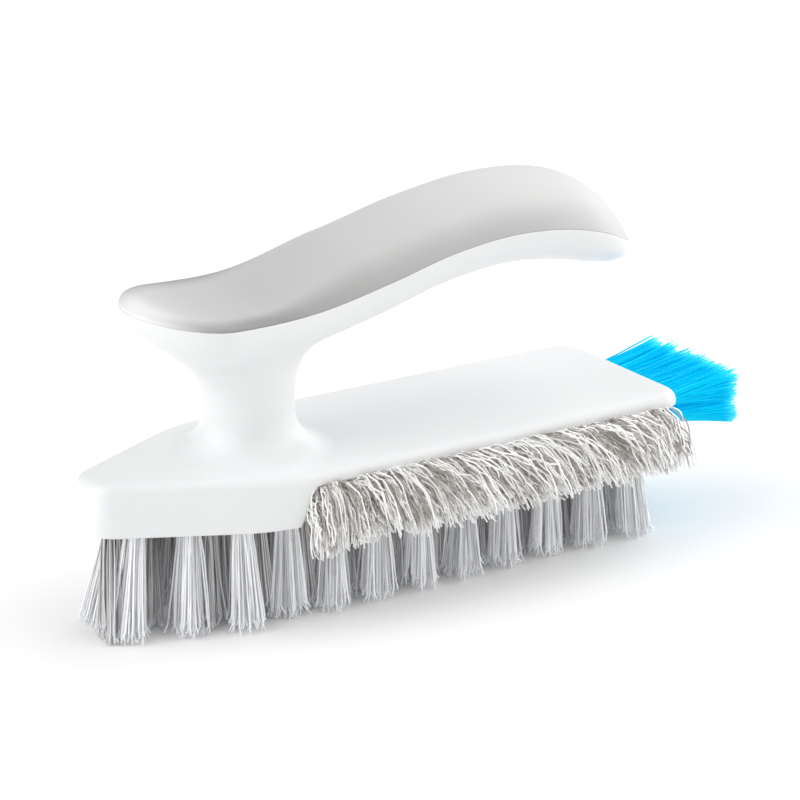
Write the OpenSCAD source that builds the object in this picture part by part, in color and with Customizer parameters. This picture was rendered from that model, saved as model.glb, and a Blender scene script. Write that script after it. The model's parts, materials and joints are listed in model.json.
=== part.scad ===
// Grout brush: an iron-shaped scrubbing brush with a palm handle on one neck.
// X runs from the nose to the tail, Y across, Z up. The brush stands on its sole bristles.
// Lengths are in millimetres. Heights of the base and handle are given from the deck, the flat
// top of the base, and lengths from the blunt nose of the base.

/* [Base] */
// Length of the base from its blunt nose to its rear face
base_len = 168; // [160:1:176]
// Width of the base between its straight sides
base_w = 54; // [50:1:58]
// Width of the blunt nose between its sharp corners
nose_w = 13.6; // [12:0.2:16]
// Distance from the nose to the sharp corner of the shoulders
shoulder_x = 40; // [36:1:44]
// Full depth of the base from the deck to the sole
base_h = 14; // [13.5:0.5:16]
// Corner radius of the nose
nose_r = 6.5; // [5:0.5:8]
// Corner radius of the shoulders
shoulder_r = 42; // [30:1:46]
// Corner radius at the rear
rear_r = 7; // [5:0.5:9]
// Radius of the rounded edge of the deck
edge_r = 3; // [2:0.25:3.5]
// Thickness of the deck plate
deck_t = 4; // [3.75:0.25:4.5]
// Length of the skirt along the deck
skirt_len = 51; // [47:1:54]
// Slope of the skirt's rear end, in millimetres of length over its depth
skirt_slope = 4; // [2:0.5:6]

/* [Handle] */
// Length of the handle
handle_len = 149; // [142:1:156]
// Set-back of the handle's nose behind the nose of the base
handle_x = 13.5; // [10:0.5:17]
// Width of the handle behind its nose
handle_w_front = 50.4; // [46:0.4:54]
// Width of the handle at its waist
handle_w_waist = 42.8; // [40:0.4:46]
// Width of the handle at its heel
handle_w_heel = 50.2; // [46:0.4:54]
// Length of the rounding of the nose in plan
nose_round = 17; // [14:1:22]
// Length of the rounding of the heel in plan
heel_round = 24; // [20:1:28]
// Height of the lowest point of the rim over the deck
rim_h = 39.5; // [37:0.5:43]
// Rise of the rim at its nose over its lowest point
nose_lift = 1.7; // [0:0.1:4]
// Rise of the rim at its crest over its lowest point
crest_lift = 11.3; // [8:0.1:14]
// Drop of the rim at its tail under its lowest point
tail_drop = 1.3; // [0:0.1:3]
// Depth of the thumb dish behind the nose
dish = 1.5; // [0.5:0.1:2]
// Height of the palm crown over the rim ahead of the crest
crown_front = 7.5; // [5:0.1:9]
// Height of the palm crown over the rim at the heel
crown_heel = 13.4; // [11:0.1:15]
// Depth of the belly under the rim at the neck
belly_front = 13; // [11.5:0.1:14.5]
// Depth of the belly under the rim at the heel
belly_heel = 11.8; // [11:0.1:14]
// Wall of the handle shell
wall = 2.4; // [2:0.1:3]
// Width of the chamfered seat between the cover and the body
seat = 2.4; // [2:0.1:3]

/* [Neck] */
// Distance of the neck's axis from the nose of the base
neck_x = 47.5; // [45:0.5:50]
// Radius of the neck's column
neck_r = 11.9; // [11:0.1:13]
// Radius of the fillet between the neck and the deck
neck_fillet = 10; // [7:0.5:12]
// Height over the deck where the upper flare starts
flare_z = 12; // [11:0.5:13]
// Reach of the upper flare towards the nose
flare_front = 15; // [12:0.5:17]
// Reach of the upper flare towards the tail
flare_back = 22; // [18:0.5:25]
// Reach of the upper flare to each side
flare_side = 6.5; // [5:0.5:7.5]
// Radius of the hollow inside the neck
core_r = 8; // [6:0.5:9]

/* [Brush block] */
// Set-back of the block's sides behind the sides of the base
recess = 3.5; // [3:0.1:4]
// Diameter of the holes for the sole tufts
sole_hole_d = 4.6; // [4:0.1:4.8]
// Depth of the holes for the sole tufts
sole_hole_h = 7; // [5:0.5:7.5]
// Diameter of the holes for the fringe and the tail fan
side_hole_d = 2.8; // [2.4:0.1:3]
// Depth of the holes for the fringe and the tail fan
side_hole_h = 4.2; // [3.6:0.1:4.4]
// Diameter of the locating pegs on top of the block
peg_d = 6; // [5:0.5:7]
// Height of the locating pegs
peg_h = 1.6; // [1.2:0.1:1.9]
// Distance of the first peg from the nose of the base
peg_first = 26; // [22:1:30]
// Spacing of the pegs
peg_pitch = 58; // [50:1:62]

/* [Sole bristles] */
// Length of the sole bristles under the base
sole_len = 28; // [24:1:32]
// Spacing of the tufts along a row
sole_pitch = 13.4; // [12.8:0.1:14.4]
// Least wall between the holes of the sole and those of the sides
rib = 0.8; // [0.6:0.1:1]
// Spacing of the rows where they close up towards the nose
row_close = 5; // [4.8:0.1:5.4]
// Distance of the outermost row from the edge of the taper
row_margin = 7.6; // [7.4:0.1:8.2]
// Distance of the foremost tuft from the nose of the base
sole_first = 7.5; // [7:0.5:8.5]
// Distance of the outermost rows' first tufts from the nose of the base
row_first = 11.5; // [11:0.5:13]
// Forward lean of the tufts at the nose, measured at their tips
nose_lean = 5; // [3:0.5:7]
// Outward lean of the tufts at the nose, measured at their tips
nose_splay = 3.5; // [2:0.25:4]
// Rearward lean of the tufts at the tail, measured at their tips
tail_lean = 4; // [0:0.5:5]

/* [Fringe and tail fan] */
// Spacing of the fringe tufts along a row
fringe_pitch = 8.2; // [7.8:0.1:9.4]
// Reach of the fringe past the block's side
fringe_reach = 10; // [7:0.5:11]
// Drop of the fringe's tips under the deck
fringe_drop = 20; // [18:0.5:24]
// Rearward lean of the fringe, measured at its tips
fringe_lean = 5; // [2:0.5:6]
// Height of the upper row of side holes over the lower one
side_row_gap = 4.4; // [3.6:0.1:4.6]
// Wall between the upper row of side holes and the top of the block
side_rib = 1; // [0.9:0.05:1.2]
// Number of tufts in each row of the tail fan
fan_count = 6; // [4:1:6]
// Spacing of the fan's tufts
fan_pitch = 6; // [5:0.25:6.5]
// Length of the fan past the block's rear face
fan_len = 26; // [20:1:28]
// Rise of the upper fan's tips over their holes
fan_rise = 6; // [4:0.5:7]
// Drop of the lower fan's tips under their holes
fan_drop = 2.5; // [1:0.5:4]
// Sideways spread of the fan at its tips, as a share of its width
fan_spread = 0.15; // [0.05:0.05:0.2]

/* [Fits] */
// Clearance of the block inside the skirt, of the pegs and of the tuft roots
fit = 0.2; // [0.1:0.05:0.3]
// Height of the wire anchors at the bottom of the holes
anchor_h = 1.4; // [1:0.1:1.6]
// Thickness of the wire anchors
anchor_t = 0.4; // [0.3:0.05:0.6]

/* [Hidden] */

white = [0.95, 0.95, 0.95];
grey_bristle = [0.74, 0.74, 0.74];
beige_bristle = [0.82, 0.80, 0.78];
blue_bristle = [0.05, 0.70, 0.98];
steel = [0.70, 0.71, 0.73];

eps = 0.01;
core_z = 3;          // height over the deck where the hollow in the neck starts
stations = 30;       // cross-sections along the handle
belly_steps = 14;    // points across the belly
neck_steps = 32;     // points round the neck
fillet_steps = 6;    // rings up the neck's fillet
flare_steps = 8;     // rings up its flare
corner_steps = 6;    // points round a corner of the base
peg_count = 3;
outer_row = 3;       // the outermost row of the sole, counted from the middle
sides = 3;           // sides of a strand
crimps = 4;          // bends along a fringe strand
crimp = 0.35;        // sideways throw of a bend
fan_bends = 3;       // bends along a fan strand
sole_strands = 3;    // strands of a tuft
fringe_strands = 3;
fan_strands = 4;
root = 1;            // depth of a strand's end inside the slice of packed roots
golden = 137.5;      // turn from one tuft to the next, in degrees
skirt_t = recess - fit;
sole_z = -base_h;
stand_z = -base_h - sole_len;    // the plane that the bristle tips stand on
half_w = base_w / 2;
block_half = half_w - recess;
block_rear = base_len - recess;
block_top = -deck_t;
row_pitch = (block_half - side_hole_h - rib - sole_hole_d / 2) / outer_row;
tip_spread = 0.6 * sole_hole_d;    // radius on which the tips of a sole tuft stand
front_x = sole_first - nose_lean - tip_spread;    // foremost bristle tips
middle_x = (front_x + block_rear + fan_len) / 2;

// ---------- curves ----------

function mix(a, b, t) = a + (b - a) * t;
function clamp01(t) = max(0, min(1, t));
function smooth(t) = let (u = clamp01(t)) u * u * (3 - 2 * u);

// Smooth curve through evenly spaced values, for t from 0 to 1
function curve(v, t) =
    let (n = len(v) - 1, i = min(n - 1, floor(clamp01(t) * n)), u = clamp01(t) * n - i,
        a = i == 0 ? 2 * v[0] - v[1] : v[i - 1], b = v[i], c = v[i + 1],
        d = i + 2 > n ? 2 * v[n] - v[n - 1] : v[i + 2])
    b + u * (c - a) / 2 + u * u * (2 * a - 5 * b + 4 * c - d) / 2
        + u * u * u * (3 * b - a - 3 * c + d) / 2;

// Share of the full width that is left at distance u into a rounded end of length r
function end_share(u, r, power) = pow(1 - pow(1 - clamp01(u / r), power), 1 / power);

// ---------- outline of the base ----------

// Centre, radius, first angle and sweep of each rounded corner, from the nose round to the rear
taper_angle = atan2(half_w - nose_w / 2, shoulder_x);
function corner(p, r, a0, a1) =
    let (m = (a0 + a1) / 2, reach = r / cos((a1 - a0) / 2))
    [p[0] - reach * cos(m), p[1] - reach * sin(m), r, a0, a1];
corners = [
    corner([0, -nose_w / 2], nose_r, 180, 270 - taper_angle),
    corner([shoulder_x, -half_w], shoulder_r, 270 - taper_angle, 270),
    corner([base_len, -half_w], rear_r, 270, 360),
    corner([base_len, half_w], rear_r, 0, 90),
    corner([shoulder_x, half_w], shoulder_r, 90, 90 + taper_angle),
    corner([0, nose_w / 2], nose_r, 90 + taper_angle, 180),
];

// The outline set in by a distance: each corner keeps its centre and loses radius
function outline(inset) = [
    for (c = corners, k = [0 : corner_steps])
        let (a = mix(c[3], c[4], k / corner_steps))
        [c[0] + (c[2] - inset) * cos(a), c[1] + (c[2] - inset) * sin(a)]
];

// Half of the base's width at a distance from the nose, with sharp corners
function half_at(x) = min(half_w, nose_w / 2 + x * tan(taper_angle));

// ---------- solids from rings and grids ----------

function quads(row, a, b) = [for (j = [0 : row - 1])
    let (k = (j + 1) % row) each [[a + j, b + k, a + k], [a + j, b + j, b + k]]];

// Solid through rings that all have the same number of points
module ring_solid(rings) {
    n = len(rings[0]);
    last = (len(rings) - 1) * n;
    faces = concat(
        [[for (j = [0 : n - 1]) j]],
        [for (i = [0 : len(rings) - 2]) each quads(n, i * n, (i + 1) * n)],
        [[for (j = [n - 1 : -1 : 0]) last + j]]);
    polyhedron([for (r = rings) each r], faces);
}

// Lens-like solid between an upper and a lower grid of cross-sections that share their edges.
// The first and last cross-sections are single points.
module lens_solid(upper, lower, first, last) {
    n = len(upper);
    m = len(upper[0]);
    up = function(i, j) i * m + j;
    lo = function(i, j) j == 0 || j == m - 1 ? up(i, j) : n * m + i * (m - 2) + j - 1;
    tip = n * m + n * (m - 2);
    points = concat([for (r = upper) each r],
        [for (r = lower) each [for (j = [1 : m - 2]) r[j]]], [first, last]);
    faces = concat(
        [for (i = [0 : n - 2], j = [0 : m - 2])
            each [[up(i, j), up(i, j + 1), up(i + 1, j + 1)],
                [up(i, j), up(i + 1, j + 1), up(i + 1, j)],
                [lo(i, j), lo(i + 1, j + 1), lo(i, j + 1)],
                [lo(i, j), lo(i + 1, j), lo(i + 1, j + 1)]]],
        [for (j = [0 : m - 2])
            each [[tip, up(0, j + 1), up(0, j)], [tip, lo(0, j), lo(0, j + 1)],
                [tip + 1, up(n - 1, j), up(n - 1, j + 1)],
                [tip + 1, lo(n - 1, j + 1), lo(n - 1, j)]]]);
    polyhedron(points, faces);
}

// ---------- shape of the handle ----------

rim_rises = [nose_lift, 0, 0.05 * crest_lift, 0.39 * crest_lift, 0.83 * crest_lift,
    crest_lift, 0.73 * crest_lift, -tail_drop];
function handle_end(t) = let (x = t * handle_len)
    end_share(x, nose_round, 1.6) * end_share(handle_len - x, heel_round, 1.9);
function handle_half(t) = handle_end(t) / 2
    * (handle_w_front * (1 - t) * (1 - 2 * t) + handle_w_waist * 4 * t * (1 - t)
        + handle_w_heel * t * (2 * t - 1));
function rim_z(t) = rim_h + curve(rim_rises, t);
function crown(t) = handle_end(t) * (t < 0.42
    ? mix(-dish * sin(clamp01(t / 0.3) * 180), crown_front, smooth((t - 0.2) / 0.22))
    : mix(crown_front, crown_heel, (t - 0.42) / 0.58));
function belly(t) = handle_end(t) * mix(belly_front, belly_heel, smooth((t - 0.3) / 0.4));

// Heights at a share w of the half width, from -1 at the left rim to 1 at the right rim
function top_z(t, w) = rim_z(t) + crown(t) * (1 - pow(abs(w), 2.3));
function super(w) = pow(max(0, 1 - pow(abs(w), 2.4)), 1 / 2.4);
function belly_z(t, w) = rim_z(t) - belly(t) * super(w);
function inside(t, w) = (1 - abs(w)) * handle_half(t);    // distance in from the rim
function seat_z(t, w) = rim_z(t) - min(inside(t, w), 0.5 * belly(t));
function cover_z(t, w) = inside(t, w) < seat + eps ? seat_z(t, w)
    : max(top_z(t, w) - wall, rim_z(t) - 0.6 * belly(t) * super(w));
function cavity_z(t, w) = inside(t, w) < seat + eps ? seat_z(t, w)
    : min(cover_z(t, w), rim_z(t) - (belly(t) - wall)
        * super(abs(w) * handle_half(t) / (handle_half(t) - seat)));

function station(i) = let (u = i / stations) mix((1 - cos(180 * u)) / 2, u, 0.2);
// Shares of the half width: the rim, the seat's inner edge, just inside it and evenly to the middle
function seat_columns(t) =
    let (h = handle_half(t), a = 1 - seat / h, b = a - 0.6 / h, one_side = [1, a, b,
        for (k = [1 : 4]) b * (1 - k / 5)])
    concat([for (w = one_side) -w], [0], [for (k = [len(one_side) - 1 : -1 : 0]) one_side[k]]);
function handle_point(t, w, z) = [handle_x + t * handle_len, w * handle_half(t), z];
nose_tip = handle_point(0, 0, rim_z(0));
tail_tip = handle_point(1, 0, rim_z(1));
// Shares of the half width on the belly, closer together near the rim
function belly_columns() = [for (j = [0 : belly_steps]) -cos(180 * j / belly_steps)];

// ---------- body ----------

module base_slab() {
    rounding = 5;
    ring_solid([
        for (k = [-1 : rounding])
            let (a = 90 * max(k, 0) / rounding, z = k < 0 ? sole_z : -edge_r + edge_r * sin(a),
                inset = edge_r * (1 - cos(a)))
            [for (p = outline(inset)) [p[0], p[1], z]]
    ]);
}

// Prism with the outline of the base set in by a distance, between two heights
module outline_prism(inset, low, high) {
    translate([0, 0, low])
        linear_extrude(height = high - low)
            polygon(outline(inset));
}

// What the skirt leaves out behind its sloping rear end
module behind_skirt() {
    top_x = skirt_len;
    low_x = skirt_len - skirt_slope;
    low = sole_z - 1;
    slope = skirt_slope / (base_h - deck_t);
    translate([0, base_w, 0])
        rotate([90, 0, 0])
            linear_extrude(height = 2 * base_w)
                polygon([[top_x, block_top], [low_x - slope, low], [base_len + 1, low],
                    [base_len + 1, block_top]]);
}

function neck_ring(z, r) = [for (j = [0 : neck_steps - 1])
    let (a = 360 * j / neck_steps) [neck_x + r * cos(a), r * sin(a), z]];
function foot(z) = neck_r + neck_fillet - sqrt(pow(neck_fillet, 2) - pow(neck_fillet - z, 2));

// Height of the belly over a point in plan
function under_z(p) = let (t = (p[0] - handle_x) / handle_len) belly_z(t, p[1] / handle_half(t));

// The upper flare: in each direction round the neck a Bezier curve from the column to the belly.
// It lands almost tangent to the belly, and stands taller towards the tail than towards the nose.
function bezier(a, b, c, d, s) = a * pow(1 - s, 3) + 3 * b * s * pow(1 - s, 2)
    + 3 * c * pow(s, 2) * (1 - s) + d * pow(s, 3);
function flare_reach(a) = 1 / norm([cos(a) / (neck_r + (cos(a) > 0 ? flare_back : flare_front)),
    sin(a) / (neck_r + flare_side)]);
function round_neck(r, a) = [neck_x + r * cos(a), r * sin(a)];
function flare_point(a, s) =
    let (r = flare_reach(a), pull = 0.55 * (r - neck_r), z = under_z(round_neck(r, a)),
        slope = z - under_z(round_neck(r - 1, a)), stand = mix(0.5, 0.8, (1 + cos(a)) / 2),
        p = round_neck(bezier(neck_r, neck_r, r - pull, r, s), a))
    [p[0], p[1], bezier(flare_z, mix(flare_z, z, stand), z - pull * slope - wall / 2, z, s)];

// Ring inside the belly's wall, at a share of the way from the flare's reach to the hollow core
function wall_ring(s) = [for (j = [0 : neck_steps - 1])
    let (a = 360 * j / neck_steps, p = round_neck(mix(flare_reach(a), core_r + 1, s), a))
    [p[0], p[1], under_z(p) + wall / 2]];

module neck() {
    fillet = [for (k = [0 : fillet_steps])
        let (z = neck_fillet * (1 - cos(90 * k / fillet_steps))) neck_ring(z, foot(z))];
    flare = [for (k = [0 : flare_steps])
        [for (j = [0 : neck_steps - 1]) flare_point(360 * j / neck_steps, k / flare_steps)]];
    in_wall = [for (s = [0, 0.3, 0.6]) wall_ring(s)];
    ring_solid(concat([neck_ring(-deck_t / 2, neck_r + neck_fillet)], fillet, flare, in_wall,
        [neck_ring(rim_h - belly_front + 0.9 * wall, core_r + 1)]));
}

// Open trough under the handle's rim, with the chamfered seat for the cover
module handle_trough() {
    inner = [for (i = [1 : stations - 1]) let (t = station(i))
        [for (w = seat_columns(t)) handle_point(t, w, cavity_z(t, w))]];
    outer = [for (i = [1 : stations - 1]) let (t = station(i))
        [for (w = belly_columns()) handle_point(t, w, belly_z(t, w))]];
    lens_solid(inner, outer, nose_tip, tail_tip);
}

module body() {
    color(white)
        place()
            difference() {
                union() {
                    difference() {
                        base_slab();
                        outline_prism(skirt_t, sole_z - 1, block_top);
                        behind_skirt();
                    }
                    neck();
                    handle_trough();
                }
                translate([neck_x, 0, core_z])
                    cylinder(h = rim_h - 2 * core_z, r1 = core_r - 1, r2 = core_r, $fn = 48);
                peg_places()
                    translate([0, 0, block_top - eps])
                        cylinder(h = peg_h + fit, d = peg_d + 2 * fit, $fn = 32);
            }
}

// ---------- cover and block ----------

module handle_cover() {
    cover_stations = [for (i = [1 : stations - 1]) station(i)];
    crowned = [for (t = cover_stations)
        [for (w = seat_columns(t)) handle_point(t, w, top_z(t, w))]];
    underside = [for (t = cover_stations)
        [for (w = seat_columns(t)) handle_point(t, w, cover_z(t, w))]];
    color(white)
        place()
            lens_solid(crowned, underside, nose_tip, tail_tip);
}

module peg_places() {
    for (i = [0 : peg_count - 1])
        translate([peg_first + i * peg_pitch, 0, 0])
            children();
}

// Where the tufts of a sole row stand. Rows count from 0 in the middle to the outermost one. They
// close up towards the nose, where the inner ones end, and every other row is half a pitch back.
bend_x = shoulder_x - 4;
function row_x(s) = let (bend = (bend_x - row_first) / cos(taper_angle))
    max(sole_first, s < bend ? row_first + s * cos(taper_angle) : bend_x + s - bend);
function row_y(row, x) = row == 0 ? 0 : min(row * row_pitch,
    half_at(x) - row_margin - (outer_row - row) * row_close);
function least_y(row) = sole_hole_d * [0, 0.7, 1.5, 0.7][row];
function sole_spots(row) = let (rear = block_rear - side_hole_h - sole_hole_d / 2 - rib)
    [for (s = [(row % 2 - 1) * sole_pitch / 2 : sole_pitch : base_len])
        let (x = row_x(s), y = row_y(row, x)) if (y >= least_y(row) && x <= rear) [x, y]];

// Heights of the upper and the lower row of side holes, and where the fringe tufts stand along
// them: the lower row starts behind the skirt's end and the upper one half a pitch on
function side_z(row) = block_top - side_rib - side_hole_d / 2 - row * side_row_gap;
fringe_first = skirt_len - skirt_slope * (block_top - side_z(1)) / (base_h - deck_t) + side_hole_d;
function fringe_spots(row) = [
    for (x = [fringe_first + (1 - row) * fringe_pitch / 2 : fringe_pitch
            : base_len - rear_r - side_hole_d / 2]) x];
function fan_spots() = [for (i = [0 : fan_count - 1]) (i - (fan_count - 1) / 2) * fan_pitch];

// Places a child that points along +Z out of its hole, with the mouth of the hole at its origin
module at_sole(row, side) {
    for (p = sole_spots(row))
        translate([p[0], side * p[1], sole_z])
            rotate([180, 0, 0])
                children();
}

module at_side(row, side) {
    for (x = fringe_spots(row))
        translate([x, side * block_half, side_z(row)])
            rotate([-side * 90, 0, 0])
                children();
}

module at_rear(row) {
    for (y = fan_spots())
        translate([block_rear, y, side_z(row)])
            rotate([0, 90, 0])
                children();
}

module hole(d, h) {
    translate([0, 0, -h])
        cylinder(h = h + 1, d = d, $fn = 24);
}

module brush_block() {
    color(white)
        place()
            difference() {
                union() {
                    outline_prism(recess, sole_z, block_top);
                    peg_places()
                        translate([0, 0, block_top - 1])
                            cylinder(h = peg_h + 1, d = peg_d, $fn = 32);
                }
                for (row = [0 : outer_row], side = row == 0 ? [1] : [-1, 1])
                    at_sole(row, side)
                        hole(sole_hole_d, sole_hole_h);
                for (row = [0, 1], side = [-1, 1])
                    at_side(row, side)
                        hole(side_hole_d, side_hole_h);
                for (row = [0, 1])
                    at_rear(row)
                        hole(side_hole_d, side_hole_h);
            }
}

// ---------- bristles ----------

// Slice of packed roots that fills a hole from its anchor to its mouth and carries the strands
module plug(d, h) {
    translate([0, 0, anchor_h - h])
        cylinder(h = h - anchor_h, d = d - 2 * fit, $fn = 24);
}

// Ring of a strand round a point, in the plane of two directions
function strand_ring(p, r, u, v, turn) = [
    for (k = [0 : sides - 1]) let (a = turn + 360 * k / sides) p + r * (cos(a) * u + sin(a) * v)];

// Share of the nose's and the tail's lean that a sole tuft has at its distance from the nose
function nose_share(x) = pow(1 - clamp01((x - sole_first) / shoulder_x), 2.4);
function tail_share(x) = pow(clamp01((x + shoulder_x - block_rear) / shoulder_x), 2);

module sole_tuft(x, y, turn) {
    tip_x = x - nose_lean * nose_share(x) + tail_lean * tail_share(x);
    tip_y = 1.05 * y + sign(y) * nose_splay * nose_share(x);
    translate([x, y, sole_z])
        rotate([180, 0, 0])
            plug(sole_hole_d, sole_hole_h);
    for (k = [0 : sole_strands - 1]) {
        a = turn + 360 * k / sole_strands;
        from = [x, y, sole_z + root] + 0.24 * sole_hole_d * [cos(a), sin(a), 0];
        to = [tip_x, tip_y, stand_z] + tip_spread * [cos(a), sin(a), 0];
        ring_solid([strand_ring(to, 0.26 * sole_hole_d, [1, 0, 0], [0, 1, 0], a),
            strand_ring(from, 0.2 * sole_hole_d, [1, 0, 0], [0, 1, 0], a)]);
    }
}

module sole_row(row, side) {
    spots = sole_spots(row);
    color(grey_bristle)
        place()
            for (i = [0 : len(spots) - 1])
                sole_tuft(spots[i][0], side * spots[i][1], golden * (i + 5 * row));
}

module sole_row_centre() sole_row(0, 1);
module sole_row_left_inner() sole_row(1, -1);
module sole_row_left_middle() sole_row(2, -1);
module sole_row_left_outer() sole_row(3, -1);
module sole_row_right_inner() sole_row(1, 1);
module sole_row_right_middle() sole_row(2, 1);
module sole_row_right_outer() sole_row(3, 1);

// A fringe strand leaves its hole sideways, bends over and hangs, with a crimp at each ring
function fringe_point(row, x, a, t) =
    let (reach = fringe_reach * (1 - 0.25 * row) + 1.2 * sin(a),
        drop = fringe_drop + side_z(row) + 1.5 * row,
        throw = floor(t * crimps) % 2 == 0 ? crimp : -crimp)
    [x + fringe_lean * t * t + mix(0.22, 0.85, t) * side_hole_d * cos(a) + throw * t,
        -block_half - reach * sin(90 * t) + (1 - t) * 0.1 * side_hole_d,
        side_z(row) + mix(0.22, 0.5, t) * side_hole_d * sin(a) + 1.5 * t * (1 - t) - drop * t * t];
function fringe_rings(row, x, a) = [
    for (i = [-1 : crimps])
        let (t = max(i, 0) / crimps, p = fringe_point(row, x, a, t),
            next = fringe_point(row, x, a, t + 0.02), step = next - p,
            along = i < 1 ? [0, -1, 0] : step / norm(step), v = cross(along, [1, 0, 0]))
        strand_ring(i < 0 ? p + [0, root, 0] : p, mix(0.22, 0.2, t) * side_hole_d,
            [1, 0, 0], v / norm(v), a)];

module fringe_row(row) {
    spots = fringe_spots(row);
    color(beige_bristle)
        place()
            for (i = [0 : len(spots) - 1]) {
                translate([spots[i], -block_half, side_z(row)])
                    rotate([90, 0, 0])
                        plug(side_hole_d, side_hole_h);
                for (k = [0 : fringe_strands - 1])
                    ring_solid(fringe_rings(row, spots[i],
                        golden * i + 360 * k / fringe_strands));
            }
}

module fringe_left_upper() fringe_row(0);
module fringe_left_lower() fringe_row(1);
module fringe_right_upper() mirror([0, 1, 0]) fringe_row(0);
module fringe_right_lower() mirror([0, 1, 0]) fringe_row(1);

// A fan strand leaves the rear face along X and spreads sideways and away from the other row
function fan_point(row, y, a, t) =
    let (rise = row == 0 ? fan_rise : -fan_drop)
    [block_rear + fan_len * t * (1 - 0.06 * pow(y / fan_pitch, 2) / fan_count),
        y * (1 + fan_spread * t * t) + mix(0.22, 0.85, t) * side_hole_d * cos(a),
        side_z(row) + rise * t * t + mix(0.22, 0.85, t) * side_hole_d * sin(a)];
function fan_rings(row, y, a) = [
    for (i = [-1 : fan_bends])
        let (t = max(i, 0) / fan_bends, p = fan_point(row, y, a, t))
        strand_ring(i < 0 ? p - [root, 0, 0] : p, mix(0.22, 0.26, t) * side_hole_d,
            [0, 1, 0], [0, 0, 1], a)];

module tail_fan(row) {
    spots = fan_spots();
    color(blue_bristle)
        place()
            for (i = [0 : len(spots) - 1]) {
                translate([block_rear, spots[i], side_z(row)])
                    rotate([0, 90, 0])
                        plug(side_hole_d, side_hole_h);
                for (k = [0 : fan_strands - 1])
                    ring_solid(fan_rings(row, spots[i], 45 + 360 * k / fan_strands));
            }
}

module tail_fan_upper() tail_fan(0);
module tail_fan_lower() tail_fan(1);

// ---------- anchors ----------

// Flat piece of wire across the bottom of a hole, over which a tuft is folded
module anchor(d, h) {
    translate([0, 0, anchor_h / 2 - h])
        cube([anchor_t, d - fit, anchor_h], center = true);
}

module sole_anchors() {
    color(steel)
        place()
            for (row = [0 : outer_row], side = row == 0 ? [1] : [-1, 1])
                at_sole(row, side)
                    anchor(sole_hole_d, sole_hole_h);
}

module fringe_anchors(side) {
    color(steel)
        place()
            for (row = [0, 1])
                at_side(row, side)
                    anchor(side_hole_d, side_hole_h);
}

module fringe_anchors_left() fringe_anchors(-1);
module fringe_anchors_right() fringe_anchors(1);

module fan_anchors() {
    color(steel)
        place()
            for (row = [0, 1])
                at_rear(row)
                    anchor(side_hole_d, side_hole_h);
}

// Stands the brush on its bristle tips, with the middle of its length at the origin
module place() {
    translate([-middle_x, 0, -stand_z])
        children();
}

body();
handle_cover();
brush_block();
sole_row_centre();
sole_row_left_inner();
sole_row_left_middle();
sole_row_left_outer();
sole_row_right_inner();
sole_row_right_middle();
sole_row_right_outer();
fringe_left_upper();
fringe_left_lower();
fringe_right_upper();
fringe_right_lower();
tail_fan_upper();
tail_fan_lower();
sole_anchors();
fringe_anchors_left();
fringe_anchors_right();
fan_anchors();
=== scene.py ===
# %% [markdown]
# # A grout brush: white moulded body, palm handle, stiff sole, soft fringe and a blue tail fan
#
# The brush is a static object with one body, so the whole lesson is about shape and finish. The
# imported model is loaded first, as a fixed frame. Then each visible piece is made in mesh code from
# a few driving sizes, in the frame's own coordinates: X from the nose to the tail, Y across and Z
# up, with the bristle tips on the floor.

import json
import math

import bpy
import numpy as np
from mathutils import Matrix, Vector

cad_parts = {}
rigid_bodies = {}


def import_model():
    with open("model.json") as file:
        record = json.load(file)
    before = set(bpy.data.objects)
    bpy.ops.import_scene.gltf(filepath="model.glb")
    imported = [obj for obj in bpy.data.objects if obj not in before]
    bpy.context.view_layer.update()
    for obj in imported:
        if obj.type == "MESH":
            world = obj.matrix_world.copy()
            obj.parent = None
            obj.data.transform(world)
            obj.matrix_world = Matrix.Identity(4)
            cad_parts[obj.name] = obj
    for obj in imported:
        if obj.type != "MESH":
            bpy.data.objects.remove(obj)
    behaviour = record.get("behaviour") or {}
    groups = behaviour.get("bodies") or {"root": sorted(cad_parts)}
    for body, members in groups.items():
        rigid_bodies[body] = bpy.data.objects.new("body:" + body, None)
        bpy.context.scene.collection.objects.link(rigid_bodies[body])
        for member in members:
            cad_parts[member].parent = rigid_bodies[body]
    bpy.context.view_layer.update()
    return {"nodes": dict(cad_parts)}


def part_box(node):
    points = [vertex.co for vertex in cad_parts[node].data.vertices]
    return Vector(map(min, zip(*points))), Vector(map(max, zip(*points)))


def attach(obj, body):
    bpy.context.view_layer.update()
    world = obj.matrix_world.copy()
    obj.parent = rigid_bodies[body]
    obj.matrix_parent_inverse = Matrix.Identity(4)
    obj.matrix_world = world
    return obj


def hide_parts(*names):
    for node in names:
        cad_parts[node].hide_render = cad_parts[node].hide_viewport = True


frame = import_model()
nodes = frame["nodes"]
MM = 0.001

# %% [markdown]
# ## Places that come from the frame
#
# The base, the handle and the bristles share two datum planes: the nose of the base and the deck,
# its flat top. Both are read from the boxes of the nodes, so the pieces stay with the frame. All
# the sizes below are in millimetres from these two planes.

# %% Datum planes
body_low, body_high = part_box("body")
block_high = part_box("brush_block")[1]
cover_low, cover_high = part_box("handle_cover")
NOSE_X = body_low[0] / MM
SOLE_Z = body_low[2] / MM
BASE_LEN = (body_high[0] - body_low[0]) / MM
BASE_W = (body_high[1] - body_low[1]) / MM
BASE_H = 14.0
DECK_Z = SOLE_Z + BASE_H
HANDLE_X = cover_low[0] / MM
HANDLE_LEN = (cover_high[0] - cover_low[0]) / MM
BLOCK_HALF = block_high[1] / MM
BLOCK_REAR = block_high[0] / MM
print("nose at x", round(NOSE_X, 2), "deck at z", round(DECK_Z, 2), "handle from x",
      round(HANDLE_X, 2))

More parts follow.
